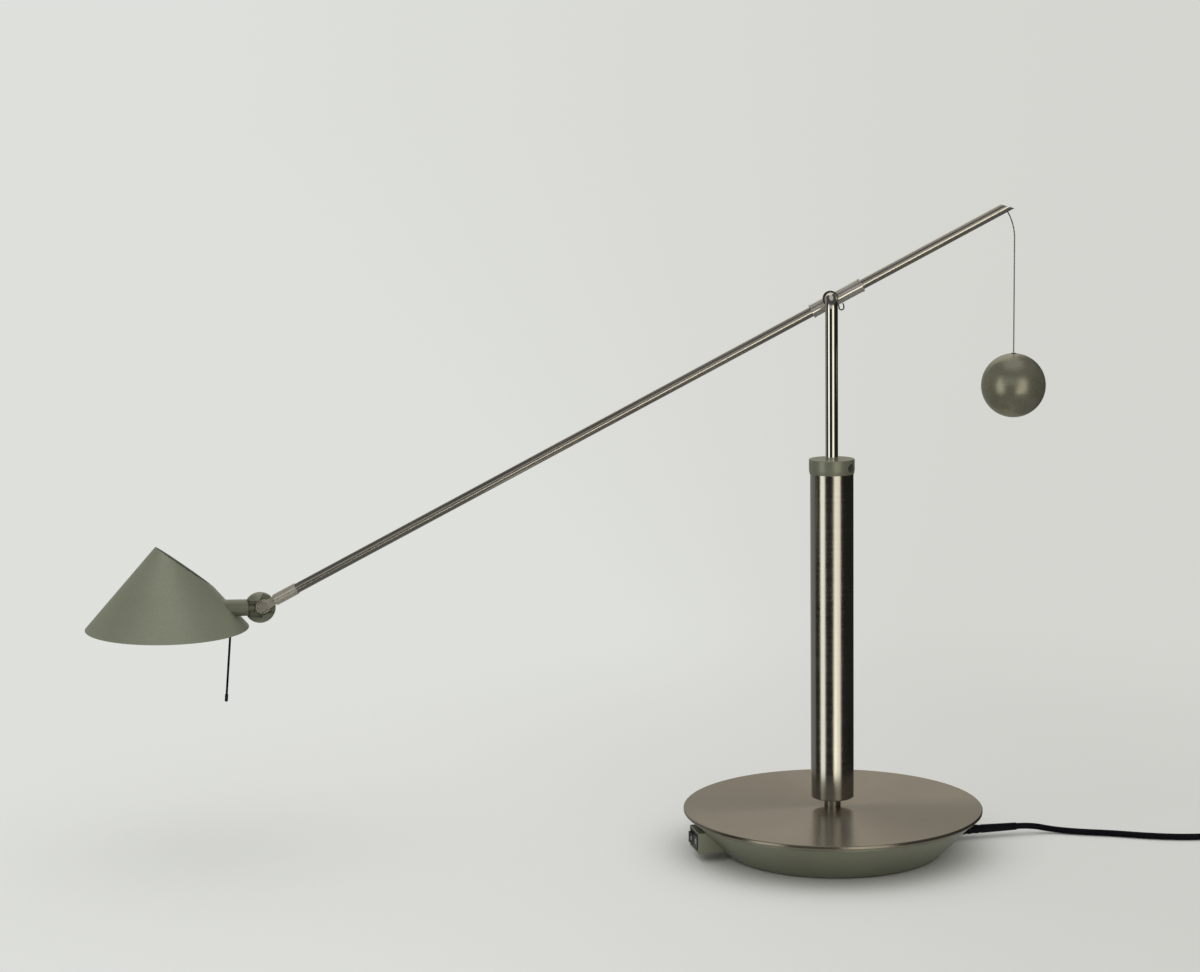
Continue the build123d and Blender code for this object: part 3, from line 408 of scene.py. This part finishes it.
def buildMarks(b, s=rockerSet):
    # u runs along a half's slope, v upwards and up out of its face
    def place(side, u, v, up):
        slope = (s["endOut"] - s["midOut"]) / s["half"]
        face = Vector((1, -side * slope, 0)).normalized()
        along = Vector((slope * side, 1, 0)).normalized()
        spot = Vector((s["midOut"] + slope * s["markAt"], side * s["markAt"], 0))
        spot += along * u + Vector((0, 0, v)) + face * (s["lift"] + up)
        axle = Vector((-s["axleIn"], 0, 0))
        spot = axle + Matrix.Rotation(radians(s["tilt"]), 3, "Z") @ (spot - axle)
        spot += Vector((s["reach"], 0, s["height"]))
        return Matrix.Rotation(radians(s["compass"]), 3, "Z") @ spot * mm

    # each pair of points across the line becomes a row of four corners
    def strip(side, pairs, closed):
        rows = []
        for one, other in pairs:
            corners = ((one, 0.0), (other, 0.0), (other, s["thick"]), (one, s["thick"]))
            rows.append([b.verts.new(place(side, *uv, up)) for uv, up in corners])
        for i in range(len(rows) if closed else len(rows) - 1):
            here, there = rows[i], rows[(i + 1) % len(rows)]
            for k in range(4):
                b.faces.new((here[k], here[(k + 1) % 4], there[(k + 1) % 4], there[k]))
        if not closed:
            b.faces.new(rows[0])
            b.faces.new(rows[-1])

    wide, high = s["bar"]
    strip(-1, [((-wide / 2, v), (wide / 2, v)) for v in (-high / 2, 0, high / 2)], False)
    turns = [2 * pi * i / s["ringSteps"] for i in range(s["ringSteps"])]
    outer, inner = s["ring"]
    strip(1, [((outer * cos(a), outer * sin(a)), (inner * cos(a), inner * sin(a)))
              for a in turns], True)


addPiece("rockerMarks", buildMarks, "mark", "switch_key")
print("switch marks made")


# mains lead: the route's points in millimetres, then its put-away coil
leadSet = {
    "across": 5.0, "exit": (153.57, 32.64, 7.0), "length": 1.8, "roundness": 6, "fineness": 8,
    "route": [(153.57, 32.64, 7.0), (166.0, 35.28, 7.0), (184.0, 35.6, 3.0), (205.0, 28.4, 2.7),
              (231.0, 23.0, 2.7), (257.0, 13.6, 2.7), (284.0, 8.4, 2.7), (305.0, 9.0, 2.7),
              (322.0, 13.5, 2.7), (327.0, 14.8, 2.7), (346.0, 16.2, 2.7)],
    "middle": (368.0, 56.0), "meanRadius": 29.5, "pitch": 5.65, "turns": 4, "low": 2.7,
    "tuck": 2.0, "spread": 3.8, "perHalf": 8, "ease": 1.006,
    "tail": [(384.0, 18.6, 8.3), (398.0, 16.4, 8.1), (409.0, 14.1, 7.4), (424.4, 10.8, 6.9),
             (429.3, 9.77, 6.9)],
}


# lower layer inwards, upper layer back out; the radius changes every half turn
def coilPoints(s):
    outer = s["meanRadius"] + s["pitch"] * s["turns"] / 2
    steps = 2 * s["turns"]
    radii = [outer - s["pitch"] / 2 * i for i in range(steps + 1)]
    inner = radii[-1]
    radii += [inner - s["tuck"]]
    radii += [inner + s["spread"] + s["pitch"] / 2 * i for i in range(steps - 1)]
    heights = [s["low"]] * (steps + 1) + [s["low"] + s["pitch"]] * steps
    x, y = s["middle"]
    points = []
    for i in range(2 * steps):
        for k in range(s["perHalf"]):
            t = k / s["perHalf"]
            r = (radii[i] + (radii[i + 1] - radii[i]) * t) * s["ease"]
            z = heights[i] + (heights[i + 1] - heights[i]) * t * t * (3 - 2 * t)
            a = pi * (i - 0.5 + t)
            points.append((x + r * cos(a), y + r * sin(a), z))
    return points + [(x, y - radii[-1] * s["ease"], heights[-1])]


def makeLead(s):
    points = s["route"] + coilPoints(s) + s["tail"]
    data = bpy.data.curves.new("mainsLead", "CURVE")
    data.dimensions = "3D"
    data.bevel_depth = s["across"] / 2 * mm
    data.bevel_resolution = s["roundness"]
    data.resolution_u = s["fineness"]
    data.use_fill_caps = True
    line = data.splines.new("NURBS")
    line.points.add(len(points) - 1)
    for point, place in zip(line.points, points):
        point.co = (*(Vector(place) * mm), 1)
    line.order_u = 3
    line.use_endpoint_u = True
    data.materials.append(finishes["lead"])
    lead = bpy.data.objects.new("mainsLead", data)
    scene.collection.objects.link(lead)
    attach(lead, "base")
    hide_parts("cord_lead", "cord_coil")
    return len(points)


print("lead laid:", makeLead(leadSet), "points")


# paper floor, painted lighter on the left than on the right as painted light; beyond the shadows
# it takes the wall's own colour, painted light too: the first wall tone on the left, the second on
# the right
floorSet = {"paper": [(0.82, 0.83, 0.80), (0.715, 0.715, 0.685)], "side": (-0.45, 0.30),
            "radius": 150.0, "segments": 96, "fade": (0.35, 1.0), "open": (0.13, 0.18),
            "sideways": (-0.22, 0.22),
            "backdropLitToShaded": [(0.735, 0.747, 0.718), (0.668, 0.668, 0.635)]}


def makeFloor(s):
    mesh = bpy.data.meshes.new("floor")
    b = bmesh.new()
    bmesh.ops.create_circle(b, cap_ends=True, radius=s["radius"], segments=s["segments"])
    b.to_mesh(mesh)
    b.free()
    floor = bpy.data.objects.new("floor", mesh)
    scene.collection.objects.link(floor)
    mat = bpy.data.materials.new("paperFloor")
    mesh.materials.append(mat)
    t = NodeTree(mat)
    x, y, z = t.split(t.place())
    away = t.math("SQRT", x * x + y * y)
    seenRays = t.lightPath("Is Camera Ray", "Is Glossy Ray", "Is Transmission Ray")
    show = seenRays * t.span(away, *s["fade"])
    # painted light: the paper goes from its lighter tone on the left to its darker tone on the
    # right
    paperPaintedLight = t.mix(t.span(x, *s["side"]), *s["paper"])
    paper = t.add("ShaderNodeBsdfDiffuse", inputs={"Color": paperPaintedLight})
    # the wall's glow carries painted light: lighter on the left, darker on the right
    wallPaintedFalloff = t.mix(t.span(x / away, *s["sideways"]), *s["backdropLitToShaded"])
    glow = t.add("ShaderNodeEmission", inputs={"Color": wallPaintedFalloff})
    seen = t.add("ShaderNodeMixShader", inputs={0: show, 1: paper, 2: glow})
    # away from the lamp the metal mirrors the room beyond the paper
    clear = t.add("ShaderNodeBsdfTransparent")
    beyond = t.lightPath("Is Glossy Ray") * t.span(away, *s["open"])
    t.close(t.add("ShaderNodeMixShader", inputs={0: beyond, 1: seen, 2: clear}))


# studio light by direction: compass degrees run from the front towards the right,
# heights are the upward part of the direction, from -1 to 1
skySet = {
    "room": (0.018, 0.01746, 0.01584), "windowTop": (0.45, 0.58), "windowLow": (-0.42, -0.32),
    "windows": [{"compass": -56.0, "half": 13.0, "edge": 3.0},
                {"compass": 23.5, "half": 16.5, "edge": 5.0}],
    "windowLevel": [(1.36, 1.38, 1.27), (1.24, 1.19, 1.05)],
    "tableGlow": {"compass": 12.0, "half": 9.0, "edge": 4.0},
    "glowHeight": (-0.44, -0.38, -0.24, -0.17), "glowLevel": (2.0, 1.87, 1.62),
    "grey": {"compass": -135.0, "half": 30.0, "edge": 8.0}, "greyLevel": 0.20,
    "upper": {"compass": -20.0, "half": 32.0, "edge": 8.0}, "upperFrom": (0.08, 0.22),
    "upperLevel": 0.40,
    "behind": {"compass": 186.0, "half": 24.0, "edge": 9.0}, "behindTop": (0.22, 0.42),
    "behindLevel": [(0.325, 0.31, 0.28), (0.80, 0.76, 0.68)], "behindEnd": (0.86, 0.93),
    "below": 0.12, "belowFrom": (-0.60, -0.45), "above": 1.04, "aboveFrom": (0.30, 0.62),
    "aboveInMetal": 0.07, "capInMetal": 0.46, "capFrom": (0.86, 0.93),
}


def makeWorld(s, sideways, backdropLitToShaded):
    world = bpy.data.worlds.new("studio")
    scene.world = world
    t = NodeTree(world)
    x, y, z = t.split(t.add("ShaderNodeTexCoord", out=0, colour=True))
    flat = t.math("MAXIMUM", t.math("SQRT", x * x + y * y), 0.0001)   # never nought straight up

    def sector(compass, half, edge):
        a = radians(compass)
        toward = (x * sin(a) - y * cos(a)) / flat
        return t.span(toward, cos(radians(half + edge)), cos(radians(half - edge)))

    def under(edges):
        return t.span(z, *edges, 1.0, 0.0)

    def grey(level):
        return (level,) * 3

    light = t.mix(sector(**s["grey"]), s["room"], grey(s["greyLevel"]))
    light = t.mix(under(s["belowFrom"]), light, grey(s["below"]))
    height = t.span(z, *s["windowLow"]) * (1 - t.span(z, *s["windowTop"]))
    for window, level in zip(s["windows"], s["windowLevel"]):
        light = t.mix(sector(**window) * height, light, level)
    upper = sector(**s["upper"]) * t.span(z, *s["upperFrom"])
    light = t.mix(upper, light, grey(s["upperLevel"]))
    low, full, spent, end = s["glowHeight"]
    glow = sector(**s["tableGlow"]) * t.span(z, low, full) * under((spent, end))
    light = t.mix(glow, light, s["glowLevel"])
    gloss = t.lightPath("Is Glossy Ray")
    metalSees = t.mix(t.span(z, *s["capFrom"]), grey(s["aboveInMetal"]), grey(s["capInMetal"]))
    above = t.mix(gloss, grey(s["above"]), metalSees)
    light = t.mix(t.span(z, *s["aboveFrom"]), light, above)
    # the paper wall behind the lamp, brighter higher up, as the plate mirrors it
    wallLevel = t.mix(t.span(z, *s["behindTop"]), *s["behindLevel"])
    seenWall = sector(**s["behind"]) * under(s["behindEnd"])
    clearOfTop = t.math("MAXIMUM", gloss, 1 - t.span(z, *s["aboveFrom"]))
    light = t.mix(seenWall * clearOfTop, light, wallLevel)
    # straight on, and through glass, the wall itself, with its painted light: lighter on the left,
    # darker on the right
    wallPaintedFalloff = t.mix(t.span(x / flat, *sideways), *backdropLitToShaded)
    shown = t.mix(t.lightPath("Is Camera Ray", "Is Transmission Ray"), light, wallPaintedFalloff)
    back = t.add("ShaderNodeBackground", inputs={"Color": shown})
    t.add("ShaderNodeOutputWorld", inputs={0: back})


makeFloor(floorSet)
makeWorld(skySet, floorSet["sideways"], floorSet["backdropLitToShaded"])
print("floor and light made")

scene.view_settings.view_transform = "Standard"
